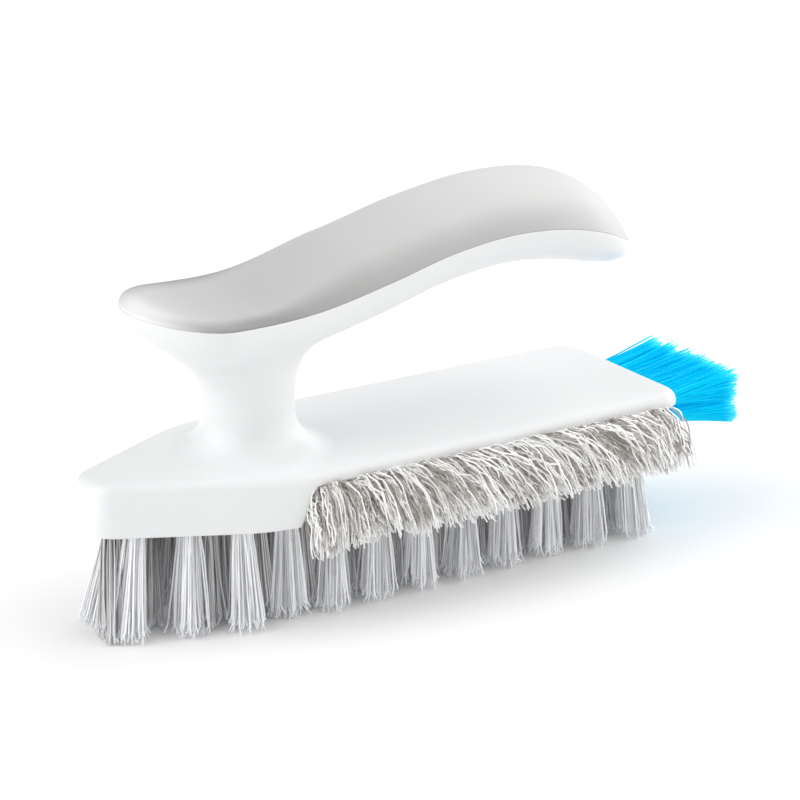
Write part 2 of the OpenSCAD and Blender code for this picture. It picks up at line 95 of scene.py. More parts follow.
# %% [markdown]
# ## The camera
#
# The photograph looks down on the brush from the left of its nose. The edges of the base stay
# nearly parallel in it, so it was taken from far off with a long lens. The camera could be moved
# by eye, but as numbers its angle, distance and lens can be fitted one at a time. A quaternion
# turns it towards a point over the deck.

# %% Camera
CAMERA_AZIMUTH, CAMERA_HEIGHT = -33.0, 18.9
CAMERA_DISTANCE, CAMERA_LENS, SENSOR_W = 870.0, 148.8, 36.0
TARGET_BACK, TARGET_UP = 93.7, 3.6


def direction(azimuth, height):
    """Unit vector at one angle round from the near side and another over the floor."""
    a, e = math.radians(azimuth), math.radians(height)
    return np.array([math.sin(a) * math.cos(e), -math.cos(a) * math.cos(e), math.sin(e)])


target = np.array([NOSE_X + TARGET_BACK, 0.0, DECK_Z + TARGET_UP])
to_camera = direction(CAMERA_AZIMUTH, CAMERA_HEIGHT)
camera_data = bpy.data.cameras.new("camera")
camera_data.lens = CAMERA_LENS
camera_data.sensor_width = SENSOR_W
camera = bpy.data.objects.new("camera", camera_data)
bpy.context.scene.collection.objects.link(camera)
camera.location = Vector((target + CAMERA_DISTANCE * to_camera) * MM)
camera.rotation_euler = Vector(-to_camera).to_track_quat("-Z", "Y").to_euler()
bpy.context.scene.camera = camera
print("camera at", [round(v, 3) for v in camera.location])

# %% [markdown]
# ## Curves from a few numbers
#
# The widths and heights of a moulding change smoothly between a few measured values. A Blender
# curve object could carry them, but the mesh code needs a value at each point. So three functions
# work them out: a straight mix, a soft step, and a curve through evenly spaced values.

# %% Mix, soft step and curve
def mix(a, b, t):
    return a + (b - a) * t


def smooth(t):
    """A step from 0 to 1 that starts and ends level."""
    t = np.clip(t, 0, 1)
    return t * t * (3 - 2 * t)


def curve(values, t):
    """Catmull-Rom curve through evenly spaced values, for t from 0 to 1."""
    v = np.asarray(values, float)
    n = len(v) - 1
    t = np.clip(t, 0, 1) * n
    i = np.minimum(n - 1, np.floor(t)).astype(int)
    u = t - i
    before = np.where(i == 0, 2 * v[0] - v[1], v[i - 1])
    after = np.where(i + 2 > n, 2 * v[n] - v[n - 1], v[np.minimum(i + 2, n)])
    b, c = v[i], v[i + 1]
    return (b + u * (c - before) / 2 + u**2 * (2 * before - 5 * b + 4 * c - after) / 2
            + u**3 * (3 * b - before - 3 * c + after) / 2)


print("half way through 0, 1 and 4:", float(curve([0, 1, 4], 0.5)))

# %% [markdown]
# ## The handle: two shells on one outline
#
# The real handle is moulded as two shells: a trough that grows out of the neck, and a palm cover
# that sits on its rim. Seen from above both have the same outline, a long waisted pad with a round
# nose and a rounder heel. A subdivided box would soften the crisp rim between the two, so the
# outline is sampled once and every surface is a set of rings between that outline and a spine.

# %% Outline and spine of the handle
NOSE_ROUND, NOSE_POWER = 17.0, 1.6
HEEL_ROUND, HEEL_POWER = 24.0, 1.9
WIDTH_FRONT, WIDTH_WAIST, WIDTH_HEEL = 50.4, 42.8, 50.2
END_FADE = 0.2


def end_share(u, length, power):
    """Share of the full width at a distance u into a rounded end, which fades into the side."""
    left = 1 - np.maximum(u / length, 0)
    left = (left + np.sqrt(left**2 + END_FADE**2 * (1 - left))) / 2
    return (1 - left**power) ** (1 / power)


def handle_end(x):
    """Share of the full width that both rounded ends of the handle leave."""
    return (end_share(x, NOSE_ROUND, NOSE_POWER)
            * end_share(HANDLE_LEN - x, HEEL_ROUND, HEEL_POWER))


def handle_half(x):
    """Half the width of the handle: a parabola through its three widths, with rounded ends."""
    t = x / HANDLE_LEN
    width = (WIDTH_FRONT * (1 - t) * (1 - 2 * t) + WIDTH_WAIST * 4 * t * (1 - t)
             + WIDTH_HEEL * t * (2 * t - 1))
    return handle_end(x) * width / 2


def handle_stations(at_nose=30, at_middle=110, at_heel=36):
    """Distances from the handle's nose that step evenly round its outline."""
    nose = np.linspace(0, math.pi / 2, at_nose, endpoint=False)
    heel = np.linspace(math.pi / 2, 0, at_heel + 1)
    middle = np.linspace(NOSE_ROUND, HANDLE_LEN - HEEL_ROUND, at_middle, endpoint=False)
    return np.concatenate([
        NOSE_ROUND * (1 - np.cos(nose) ** (2 / NOSE_POWER)), middle,
        HANDLE_LEN - HEEL_ROUND * (1 - np.clip(np.cos(heel), 0, 1) ** (2 / HEEL_POWER))])


side_x = handle_stations()
side_y = handle_half(side_x)
rim = np.concatenate([np.column_stack([side_x, side_y]),
                      np.column_stack([side_x, -side_y])[-2:0:-1]])
spine_x = np.clip(rim[:, 0], NOSE_ROUND, HANDLE_LEN - HEEL_ROUND)
rim_reach = np.linalg.norm(rim - np.column_stack([spine_x, 0 * spine_x]), axis=1)
print("outline of the handle:", len(rim), "points, half width", round(rim[:, 1].max(), 2), "mm")

# %% [markdown]
# The rim is a saddle seen from the side: it dips behind the nose for the thumb, rises to a crest
# under the palm and falls away to the tail. Over it the cover is slightly hollow at the thumb and
# crowned at the palm. Under it the belly of the trough is a flattened half ellipse.

# %% Heights of the rim, the crown and the belly
RIM_H = 39.46
RIM_RISES = [1.7, 0, 0.56, 4.41, 9.38, 11.3, 8.25, -1.3]
DISH, CROWN_FRONT, CROWN_HEEL = 1.5, 7.5, 13.4
BELLY_FRONT, BELLY_HEEL = 13.0, 11.8
CROWN_POWER, BELLY_POWER = 2.3, 2.4
# Where each form starts along the handle and how far it runs, as shares of its length
DISH_RUN, FRONT_FROM, FRONT_RUN = 0.3, 0.2, 0.22
PALM_FROM, PALM_RUN, BELLY_FROM, BELLY_RUN = 0.42, 0.58, 0.3, 0.4


def rim_height(x):
    """Height of the rim over the deck, at a distance from the handle's nose."""
    return RIM_H + curve(RIM_RISES, x / HANDLE_LEN)


def crown(x):
    """Rise of the cover's middle over the rim: a dish for the thumb, then a swell to the heel."""
    t = x / HANDLE_LEN
    thumb = -DISH * np.sin(np.clip(t / DISH_RUN, 0, 1) * math.pi)
    front = mix(thumb, CROWN_FRONT, smooth((t - FRONT_FROM) / FRONT_RUN))
    heel = mix(CROWN_FRONT, CROWN_HEEL, np.clip((t - PALM_FROM) / PALM_RUN, 0, 1))
    return handle_end(x) * np.where(t < PALM_FROM, front, heel)


def belly(x):
    """Depth of the trough's middle under the rim."""
    swell = smooth((x / HANDLE_LEN - BELLY_FROM) / BELLY_RUN)
    return handle_end(x) * mix(BELLY_FRONT, BELLY_HEEL, swell)


def width_share(x, y):
    """How far out a point lies, from 0 on the middle line to 1 on the rim."""
    return np.clip(np.abs(y) / np.maximum(handle_half(x), 1e-6), 0, 1)


def top_height(x, y):
    return rim_height(x) + crown(x) * (1 - width_share(x, y) ** CROWN_POWER)


def belly_height(x, y):
    share = (1 - width_share(x, y) ** BELLY_POWER) ** (1 / BELLY_POWER)
    return rim_height(x) - belly(x) * share


def from_handle(x, y, z):
    """Points of the frame, from places measured from the handle's nose and the deck."""
    return np.column_stack([x + HANDLE_X, y, z + DECK_Z])


crest_x = np.linspace(0, HANDLE_LEN, 600)
crest_top = top_height(crest_x, 0 * crest_x)
print("crest of the cover:", round(crest_top.max() + DECK_Z, 2), "mm over the floor, cad",
      round(cover_high[2] / MM, 2))

# %% [markdown]
# ## The palm cover
#
# The cover is a separate moulding in a warmer, greyer plastic. Its edge is crisp along both sides
# and rolls over softly at the nose, where a thumb would feel it. A bevel modifier rounds an edge
# by the same amount everywhere, so the roll is made as an arc whose radius changes along the rim.

# %% Rolled edge of the cover
ROLL_NOSE, ROLL_SIDE, ROLL_LENGTH = 1.3, 0.3, 22.0
LEAST_ROLL, ROLL_SHARE = 0.35, 0.3
COVER_INSET, EDGE_SHARE = 0.25, 0.2
SHOULDER_RISE, SHOULDER_W, SHOULDER_END, SHOULDER_FADE = 1.7, 6.5, 45.0, 55.0


def roll_radius(x):
    full = mix(ROLL_NOSE, ROLL_SIDE, smooth(x / ROLL_LENGTH))
    return full * np.minimum(1, LEAST_ROLL + handle_end(x))


def cover_height(x, y, inside):
    """Height of the cover, whose shoulder rises over the rim within a few millimetres of it."""
    rise = SHOULDER_RISE * (1 - smooth((x - SHOULDER_END) / SHOULDER_FADE))
    share = np.clip(inside / SHOULDER_W, 0, 1)
    return top_height(x, y) + rise * np.sqrt(1 - (1 - share) ** 2)


def along_rays(reach):
    """Points in plan at given distances from the spine, one on each ray to the rim."""
    share = reach / rim_reach
    return spine_x + share * (rim[:, 0] - spine_x), share * rim[:, 1]


cover_reach = rim_reach - np.minimum(COVER_INSET, EDGE_SHARE * rim_reach)


def rim_roll():
    """Radius, end angle, centre height and touching point of the cover's rolled edge."""
    radius = np.minimum(roll_radius(rim[:, 0]), ROLL_SHARE * rim_reach)
    inner_x, inner_y = along_rays(cover_reach - radius)
    edge = rim_height(rim[:, 0])
    slope = (edge - cover_height(inner_x, inner_y, radius)) / radius
    steep = np.sqrt(1 + slope**2)
    centre = edge - slope * radius - radius * steep
    return radius, np.arctan2(1, -slope), centre, cover_reach - radius - radius * slope / steep


roll, roll_end, seam_height, touch = rim_roll()
print("roll of the edge:", round(roll.min(), 2), "to", round(roll.max(), 2), "mm")

# %% [markdown]
# The cover is then a stack of closed rings, with a point on each ray to the rim: a lip that hides
# under the edge, the roll, and the crown inside it. Sculpting could give the same form, but rings
# keep every edge loop parallel to the rim, so highlights run clean.

# %% Rings of the cover
ROLL_STEPS, COVER_RINGS = 8, 40
COVER_LIP, LIP_DROP, LIFT_FADE = 1.2, 0.12, 8


def ring_at(reach, height):
    """One ring of a shell, at given reaches from the spine and heights over the deck."""
    x, y = along_rays(reach)
    return from_handle(x, y, height)


def cover_rings():
    under = seam_height - LIP_DROP
    rings = [ring_at(rim_reach - COVER_LIP, under), ring_at(cover_reach, under)]
    for k in range(ROLL_STEPS + 1):
        angle = roll_end * k / ROLL_STEPS
        rings.append(ring_at(cover_reach - roll + roll * np.cos(angle),
                             seam_height + roll * np.sin(angle)))
    x, y = along_rays(touch)
    lift = seam_height + roll * np.sin(roll_end) - cover_height(x, y, cover_reach - touch)
    for share in np.sin(np.linspace(math.pi / 2, 0, COVER_RINGS))[1:]:
        x, y = along_rays(touch * share)
        height = cover_height(x, y, cover_reach - touch * share)
        rings.append(from_handle(x, y, height + lift * share**LIFT_FADE))
    return rings


rings = cover_rings()
print("cover:", len(rings), "rings of", len(rim), "points")

# %% [markdown]
# Points and faces become a mesh object here. Shading is smooth but for edges sharper than a given
# angle, so the seam stays crisp.

# %% Palm cover
COVER_SHARP = 40


def make_piece(name, points, faces, slot, *replaced, shade_angle=None):
    """A mesh object from points in millimetres that rides on the body; its slot argument is not
    used.
    """
    mesh = bpy.data.meshes.new(name)
    mesh.from_pydata((np.asarray(points) * MM).tolist(), [], faces)
    mesh.validate()
    mesh.shade_smooth()
    if shade_angle is not None:
        mesh.set_sharp_from_angle(angle=math.radians(shade_angle))
    piece = bpy.data.objects.new(name, mesh)
    bpy.context.scene.collection.objects.link(piece)
    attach(piece, "root")
    if replaced:
        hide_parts(*replaced)
    print(name, len(mesh.vertices), "vertices,", len(mesh.polygons), "faces")
    return piece


def ring_faces(rings, points):
    """Quads between closed rings that are stored one after another."""
    faces = []
    for i in range(rings - 1):
        for j in range(points):
            k = (j + 1) % points
            faces.append([i * points + j, i * points + k,
                          (i + 1) * points + k, (i + 1) * points + j])
    return faces


cover = make_piece("palm_cover", np.concatenate(rings), ring_faces(len(rings), len(rim)),
                   "white_plastic", "handle_cover", shade_angle=COVER_SHARP)

# %% [markdown]
# The palm skin has painted light and shade on its grey. Painted light makes it lighter at the nose,
# with a painted highlight on the roll there, and towards the heel; painted shade darkens a band of a
# few millimetres along the rim. A gradient texture would need its own coordinates, so this painted
# tone is stored on the points, where the material finds it. Tones and band depths are listed from
# the nose to the heel.

# %% Painted light and shade of the palm skin
SKIN_PAINTED_LIGHT = [1.1, 0.91, 0.93, 0.97, 1.05, 1.11, 1.10, 1.0]
RIM_SHADE_DEPTHS = [0.0, 0.5, 0.36, 0.26, 0.27, 0.28, 0.14, 0.0]
RIM_SHADE_W = 9.0
NOSE_HIGHLIGHT, NOSE_HIGHLIGHT_LEN = 0.4, 12.0
PAINTED_DARKEST, PAINTED_LIGHTEST = 0.5, 1.6
skin = np.array([v.co for v in cover.data.vertices]) / MM
skin_x = np.clip(skin[:, 0] - HANDLE_X, 0, HANDLE_LEN)
inside = np.maximum(0, handle_half(skin_x) - np.abs(skin[:, 1]))
# Painted shade in a band along the rim
band = curve(RIM_SHADE_DEPTHS, skin_x / HANDLE_LEN) * (1 - smooth(inside / RIM_SHADE_W))
# Painted light: lighter at the nose and towards the heel
tone = curve(SKIN_PAINTED_LIGHT, skin_x / HANDLE_LEN)
# A painted highlight at the nose, then the painted shade of the rim band
tone = (tone + NOSE_HIGHLIGHT * (1 - smooth(skin_x / NOSE_HIGHLIGHT_LEN))) * (1 - band)
stored_light_and_shade = ((tone - PAINTED_DARKEST) / (PAINTED_LIGHTEST - PAINTED_DARKEST)).astype(np.float32)
skin_tone = cover.data.attributes.new("skin_tone", "FLOAT", "POINT")
skin_tone.data.foreach_set("value", stored_light_and_shade)
print("tone of the skin:", round(tone.min(), 2), "to", round(tone.max(), 2))

# %% [markdown]
# ## The trough under the palm
#
# The trough starts at the seam with a small rounded edge, which catches a thin line of light, and
# runs down as a flattened half ellipse. A scaled sphere could be cut to it, but the cut wouldn't
# follow the rim. On the cover's own rays the two shells meet along one line.

# %% Trough of the handle
SEAM_GAP, TROUGH_EDGE = 0.03, 0.32
TROUGH_EDGE_STEPS, TROUGH_RINGS = 5, 30


def trough_rings():
    top = seam_height - LIP_DROP - SEAM_GAP
    rings = [ring_at(rim_reach - COVER_LIP, top)]
    edge = np.minimum(TROUGH_EDGE, EDGE_SHARE * rim_reach)
    for angle in np.linspace(math.pi / 2, 0, TROUGH_EDGE_STEPS):
        rings.append(ring_at(rim_reach - edge + edge * np.cos(angle),
                             top - edge + edge * np.sin(angle)))
    start = top - edge
    for angle in np.linspace(0, math.pi / 2, TROUGH_RINGS)[1:]:
        x, y = along_rays(rim_reach * np.cos(angle) ** (2 / BELLY_POWER))
        height = rim_height(x)
        depth = height - belly_height(x, y)
        rings.append(from_handle(x, y, height - np.maximum(depth, height - start)))
    return rings


rings = trough_rings()
trough_points = np.concatenate(rings)
trough_faces = ring_faces(len(rings), len(rim))
print("trough:", len(rings), "rings of", len(rim), "points")

# %% [markdown]
# ## The neck
#
# One round neck carries the handle. It leaves the deck in a cove, narrows to a column and flares
# into the belly. A boolean union with a bevel would leave a line there, so the neck is a set of
# paths, one for each direction round its axis: a quarter circle, a straight stretch, and a Bezier
# curve that lands tangent to the belly.

# %% Neck
NECK_X, NECK_R, COVE = 47.5, 11.9, 10.0
FLARE_Z, FLARE_FRONT, FLARE_BACK, FLARE_SIDE = 12.0, 15.0, 22.0, 6.5
STAND_FRONT, STAND_BACK, PULL = 0.5, 0.8, 0.55
NECK_SIDES, COVE_STEPS, FLARE_STEPS = 96, 14, 26
SLOPE_STEP, NECK_OVERLAP = 0.5, 0.02


def belly_over(x, y):
    """Height of the belly over a point of the base."""
    return belly_height(x - (HANDLE_X - NOSE_X), y)


turn = np.linspace(0, 2 * math.pi, NECK_SIDES, endpoint=False)
out_x, out_y = np.cos(turn), np.sin(turn)
reach_x = NECK_R + np.where(out_x > 0, FLARE_BACK, FLARE_FRONT)
reach_y = NECK_R + FLARE_SIDE
landing = 1 / np.sqrt((out_x / reach_x) ** 2 + (out_y / reach_y) ** 2)
land_x, land_y = NECK_X + landing * out_x, landing * out_y
land_z = belly_over(land_x, land_y)
step_x, step_y = SLOPE_STEP * out_x, SLOPE_STEP * out_y
belly_slope = (belly_over(land_x + step_x, land_y + step_y)
               - belly_over(land_x - step_x, land_y - step_y)) / (2 * SLOPE_STEP)


def neck_ring(radius, height):
    return np.column_stack([NECK_X + radius * out_x, radius * out_y, 0 * turn + height])


neck_rings = []
for angle in np.linspace(0, math.pi / 2, COVE_STEPS):
    neck_rings.append(neck_ring(NECK_R + COVE * (1 - math.sin(angle)),
                                COVE * (1 - math.cos(angle))))
pull = PULL * (landing - NECK_R)
stand = mix(STAND_FRONT, STAND_BACK, (1 + out_x) / 2)
for s in np.linspace(0, 1, FLARE_STEPS):
    a, b, c, d = (1 - s) ** 3, 3 * s * (1 - s) ** 2, 3 * s * s * (1 - s), s**3
    radius = a * NECK_R + b * NECK_R + c * (landing - pull) + d * landing
    z = (a * FLARE_Z + b * mix(FLARE_Z, land_z, stand) + c * (land_z - pull * belly_slope)
         + d * (land_z + NECK_OVERLAP))
    neck_rings.append(neck_ring(radius, z))
neck_points = np.concatenate(neck_rings) + [NOSE_X, 0, DECK_Z]
neck_faces = ring_faces(len(neck_rings), NECK_SIDES)
print("neck lands on the belly at heights", round(land_z.min(), 1), "to", round(land_z.max(), 1))

# %% [markdown]
# ## The base
#
# The base is an iron-shaped plate with a rounded edge. Its front third has a skirt that hides the
# brush block, and behind the skirt only the thin edge of the plate shows over the fringe. The
# outline is six tangent arcs, so setting it in only changes their radii, which gives the rounded
# edge and the inside of the skirt too.

# %% Outline of the base
NOSE_W, SHOULDER_X = 13.6, 40.0
NOSE_R, SHOULDER_R, REAR_R, EDGE_R = 6.5, 42.0, 7.0, 3.0
DECK_T, SKIRT_LEN, SKIRT_SLOPE = 4.0, 51.0, 4.0
CORNER_STEPS = 14
SIDE_STEPS = [6, 60, 12, 60, 6, 4]
half_w = BASE_W / 2
taper = math.degrees(math.atan2(half_w - NOSE_W / 2, SHOULDER_X))


def corner(x, y, radius, first, last):
    """Centre, radius and angles of the arc that rounds a sharp corner."""
    middle = math.radians((first + last) / 2)
    reach = radius / math.cos(math.radians((last - first) / 2))
    return x - reach * math.cos(middle), y - reach * math.sin(middle), radius, first, last


corners = [corner(0, -NOSE_W / 2, NOSE_R, 180, 270 - taper),
           corner(SHOULDER_X, -half_w, SHOULDER_R, 270 - taper, 270),
           corner(BASE_LEN, -half_w, REAR_R, 270, 360),
           corner(BASE_LEN, half_w, REAR_R, 0, 90),
           corner(SHOULDER_X, half_w, SHOULDER_R, 90, 90 + taper),
           corner(0, NOSE_W / 2, NOSE_R, 90 + taper, 180)]


def base_outline(inset):
    """The outline set in by a distance, with points along its straight sides too."""
    arcs = []
    for x, y, radius, first, last in corners:
        a = np.radians(np.linspace(first, last, CORNER_STEPS))
        arcs.append(np.column_stack([x + (radius - inset) * np.cos(a),
                                     y + (radius - inset) * np.sin(a)]))
    points = []
    for i, arc in enumerate(arcs):
        points.append(arc)
        gap = arcs[(i + 1) % len(arcs)][0] - arc[-1]
        points.append(arc[-1] + gap * np.linspace(0, 1, SIDE_STEPS[i] + 2)[1:-1, None])
    return np.concatenate(points)


print("taper of the nose:", round(taper, 1), "degrees, outline:", len(base_outline(0)), "points")

# %% [markdown]
# The lower edge of the side wall steps down at the skirt. A boolean cut would leave long thin
# faces there, so the height of the edge is worked out at every point of the outline: 4 mm under
# the deck behind the skirt, the full depth at the nose, and a slope between them.

# %% Base shell
LIP_R, WALL_T, CEILING_RIM = 0.7, 3.1, 4
DECK_SHARES, DECK_SPINE_END = (0.0, 0.25, 0.5, 0.75, 0.9, 1.0), 24
DECK_EDGE_STEPS, WALL_STEPS, LIP_STEPS, BODY_SHARP = 10, 8, 5, 50


def wall_foot(x):
    """Depth of the side wall's lower edge under the deck at a distance from the nose."""
    end_middle = SKIRT_LEN - SKIRT_SLOPE / 2
    share = np.clip((x - end_middle) / SKIRT_SLOPE + 0.5, 0, 1)
    return mix(BASE_H, DECK_T, share)


def base_surface():
    """Rings over the deck, round its edge, down the wall, round the lip and up inside."""
    foot = wall_foot(base_outline(0)[:, 0])
    edge = base_outline(EDGE_R)
    middle = np.column_stack([np.clip(edge[:, 0], DECK_SPINE_END, BASE_LEN - DECK_SPINE_END),
                              0 * edge[:, 1]])
    rings = []

    def ring(inset, z):
        plan = base_outline(inset)
        rings.append(np.column_stack([plan, z + 0 * plan[:, 0]]))

    for share in DECK_SHARES:
        plan = mix(middle, edge, share)
        rings.append(np.column_stack([plan, 0 * plan[:, 0]]))
    for angle in np.linspace(0, math.pi / 2, DECK_EDGE_STEPS)[1:]:
        ring(EDGE_R * (1 - math.sin(angle)), -EDGE_R * (1 - math.cos(angle)))
    bottom = -(foot - LIP_R)
    for share in np.linspace(0, 1, WALL_STEPS)[1:]:
        ring(0, mix(-EDGE_R, bottom, share))
    for angle in np.linspace(0, math.pi / 2, LIP_STEPS)[1:]:
        ring(LIP_R * (1 - math.cos(angle)), bottom - LIP_R * math.sin(angle))
    ring(WALL_T, -foot)
    ring(WALL_T, -DECK_T)
    ring(WALL_T + CEILING_RIM, -DECK_T)
    return rings


rings = base_surface()
base_points = np.concatenate(rings) + [NOSE_X, 0, DECK_Z]
base_faces = ring_faces(len(rings), len(rings[0]))


def joined(*parts):
    """Points and faces of several shells in one list each."""
    points, faces, start = [], [], 0
    for part_points, part_faces in parts:
        points.append(part_points)
        faces += [[start + i for i in face] for face in part_faces]
        start += len(part_points)
    return np.concatenate(points), faces


body_points, body_faces = joined((trough_points, trough_faces), (neck_points, neck_faces),
                                 (base_points, base_faces))
body = make_piece("handled_base", body_points, body_faces, "white_plastic", "body",
                  shade_angle=BODY_SHARP)

# %% [markdown]
# ## How the filaments are made
#
# A tuft is a bundle of plastic filaments, folded over a wire anchor at the bottom of its hole.
# Hair particles would give the look in this program only, so each filament is a real tube of three
# sides. All the filaments of a node are built together from one array of paths, and each point
# keeps two numbers for the material: a random tone, and its place from root to tip.

# %% Filaments from an array of paths
SIDES = 3
rng = np.random.default_rng(7)


def filaments(name, paths, steps, radii, across, slot, node):
    """Tubes along paths of shape (filament, step, 3), in millimetres from the nose and the deck."""
    count, rings = paths.shape[:2]
    tangent = np.gradient(paths, axis=1)
    tangent /= np.linalg.norm(tangent, axis=2, keepdims=True)
    across = np.asarray(across, float)
    u = across - (tangent @ across)[..., None] * tangent
    u /= np.linalg.norm(u, axis=2, keepdims=True)
    v = np.cross(tangent, u)
    turn = rng.uniform(0, 2 * math.pi, count)[:, None, None] + (
        2 * math.pi * np.arange(SIDES) / SIDES)
    ring = (u[:, :, None] * np.cos(turn)[..., None] + v[:, :, None] * np.sin(turn)[..., None])
    points = paths[:, :, None] + radii[:, :, None, None] * ring
    start = np.arange(count)[:, None, None] * rings * SIDES
    i = np.arange(rings - 1)[None, :, None] * SIDES
    j = np.arange(SIDES)[None, None, :]
    k = (j + 1) % SIDES
    quads = np.stack([start + i + j, start + i + k, start + i + SIDES + k,
                      start + i + SIDES + j], axis=-1).reshape(-1, 4)
    last = start[:, 0] + (rings - 1) * SIDES
    caps = last + np.arange(SIDES)
    piece = make_piece(name, points.reshape(-1, 3) + [NOSE_X, 0, DECK_Z],
                       quads.tolist() + caps.tolist(), slot, node)
    tone = np.repeat(rng.uniform(0, 1, count), rings * SIDES)
    along = np.tile(np.repeat(steps, SIDES), count)
    for label, values in (("strand_tone", tone), ("strand_along", along)):
        layer = piece.data.attributes.new(label, "FLOAT", "POINT")
        layer.data.foreach_set("value", values.astype(np.float32))
    return piece


def disc(count, radius):
    """Random places spread evenly over a disc."""
    angle = rng.uniform(0, 2 * math.pi, count)
    reach = radius * rng.uniform(0, 1, count) ** 0.5
    return reach * np.cos(angle), reach * np.sin(angle)


print("each filament has", SIDES, "sides and a flat cut end")

# %% [markdown]
# ## The sole
#
# Seven rows of stiff grey tufts stand in the sole. They close up towards the nose, and a row ends
# where it would run into the next one. An array modifier could repeat one tuft, but not along
# rows that bend, so the places are worked out first, from the same sizes as the block's holes.

# %% Places of the sole tufts
HOLE_D, SIDE_HOLE_H, RIB = 4.6, 4.2, 0.8
PITCH, ROW_CLOSE, ROW_MARGIN, SOLE_FIRST, ROW_FIRST = 13.4, 5.0, 7.6, 7.5, 11.5
BEND_AHEAD, OUTER_ROW = 4, 3
BEND_X = SHOULDER_X - BEND_AHEAD
ROW_PITCH = (BLOCK_HALF - SIDE_HOLE_H - RIB - HOLE_D / 2) / OUTER_ROW
LEAST_Y = [0, 3.22, 6.9, 3.22]
BLOCK_BACK = BLOCK_REAR - NOSE_X


def row_x(s):
    """Distance from the nose of a tuft at a length s along its row."""
    bend = (BEND_X - ROW_FIRST) / math.cos(math.radians(taper))
    x = ROW_FIRST + s * math.cos(math.radians(taper)) if s < bend else BEND_X + s - bend
    return max(SOLE_FIRST, x)


def row_y(row, x):
    """Distance of a row from the middle line, where the outline leaves room for it."""
    half = min(half_w, NOSE_W / 2 + x * math.tan(math.radians(taper)))
    room = half - ROW_MARGIN - (OUTER_ROW - row) * ROW_CLOSE
    return 0 if row == 0 else min(row * ROW_PITCH, room)


def sole_spots(row):
    rear = BLOCK_BACK - SIDE_HOLE_H - HOLE_D / 2 - RIB
    spots = []
    for s in np.arange((row % 2 - 1) * PITCH / 2, BASE_LEN, PITCH):
        x = row_x(s)
        y = row_y(row, x)
        if y >= LEAST_Y[row] and x <= rear:
            spots.append((x, y))
    return spots


print("tufts in the rows of the sole:", [len(sole_spots(row)) for row in range(OUTER_ROW + 1)])

# %% [markdown]
# The tufts splay a little at their tips, and those at both ends of the base lean outwards. Each
# filament is cut at a slightly different length and bends on its own. That makes the lower edge
# ragged, as no texture on a solid tuft could.

# %% Sole tufts
SOLE_FILAMENTS = 82
SOLE_STEPS = np.array([0, 0.3, 0.65, 0.93, 1.0])
SOLE_RINGS = len(SOLE_STEPS)
SOLE_R, TIP_R = 0.28, 0.26
ROOT_DEPTH, ROOT_SPREAD, TIP_SPREAD, ROW_SPREAD = 1.5, 2.5, 5.0, 1.05
TIP_REACH_X, TIP_REACH_Y, TIP_LEAST_X = 5.4, 5.0, 1.6
# At the nose the tufts lean forward, the sides outward and the centre row to the near side.
# At the tail they lean back.
NOSE_LEAN, NOSE_SPLAY, NOSE_DRIFT, NOSE_FADE = 5.0, 3.5, -5.0, 2.4
TAIL_LEAN, TAIL_FADE = 4.0, 2
# Random parts: of a filament's tip, of a whole tuft, of a bow, of a kink and of the cut end
TIP_STRAY, TUFT_STRAY, BOW, KINK, FRAY = 0.55, 0.5, 0.3, 0.05, 0.55
# The longest filaments end just over the floor, others up to 4 mm higher
FLOOR_GAP, RAGGED, RAGGED_SHAPE = 0.15, 4.0, (0.8, 2.4)


def sole_row(name, node, row, side):
    n = SOLE_FILAMENTS
    paths = []
    for x, y in sole_spots(row):
        nose = (1 - np.clip((x - SOLE_FIRST) / SHOULDER_X, 0, 1)) ** NOSE_FADE
        tail = np.clip((x + SHOULDER_X - BLOCK_BACK) / SHOULDER_X, 0, 1) ** TAIL_FADE
        tip_x = x - NOSE_LEAN * nose + TAIL_LEAN * tail
        tip_y = ROW_SPREAD * y + (NOSE_SPLAY if y > 0 else NOSE_DRIFT) * nose
        root_x, root_y = disc(n, 1)
        stray = rng.normal(0, TIP_STRAY, (2, n))
        lean = rng.normal(0, TUFT_STRAY, 2)
        end_x = np.clip(TIP_SPREAD * root_x + stray[0] + lean[0],
                        max(-TIP_REACH_X, TIP_LEAST_X - tip_x), TIP_REACH_X)
        end_y = np.clip(TIP_SPREAD * root_y + stray[1] + lean[1], -TIP_REACH_Y, TIP_REACH_Y)
        start = np.column_stack([x + ROOT_SPREAD * root_x, side * y + ROOT_SPREAD * root_y,
                                 0 * root_x - BASE_H + ROOT_DEPTH])
        length = RAGGED * rng.beta(*RAGGED_SHAPE, n)
        end = np.column_stack([tip_x + end_x, side * tip_y + end_y,
                               -DECK_Z + FLOOR_GAP + length])
        t = SOLE_STEPS[None, :, None]
        path = start[:, None] + (end - start)[:, None] * t
        path[:, :, :2] += rng.normal(0, BOW, (n, 1, 2)) * np.sin(math.pi * t)
        path[:, 1:-1, :2] += rng.normal(0, KINK, (n, SOLE_RINGS - 2, 2))
        path[:, -1, :2] += rng.normal(0, FRAY, (n, 2))
        paths.append(path)
    paths = np.concatenate(paths)
    radii = np.broadcast_to(np.linspace(SOLE_R, TIP_R, SOLE_RINGS), paths.shape[:2])
    return filaments(name, paths, SOLE_STEPS, radii, (1, 0, 0), "grey_bristle", node)


sole_row("sole_tufts_centre", "sole_row_centre", 0, 1)
for row, place_name in ((1, "inner"), (2, "middle"), (3, "outer")):
    for side, side_name in ((-1, "left"), (1, "right")):
        sole_row(f"sole_tufts_{side_name}_{place_name}", f"sole_row_{side_name}_{place_name}",
                 row, side)

# %% [markdown]
# ## The fringe
#
# Along each side, behind the skirt, two rows of fine crimped filaments come out sideways, bend
# over and hang like a curtain. Cloth strips could stand for it, but close by it is single curls,
# so it gets the same tubes as the sole, on paths that bend.

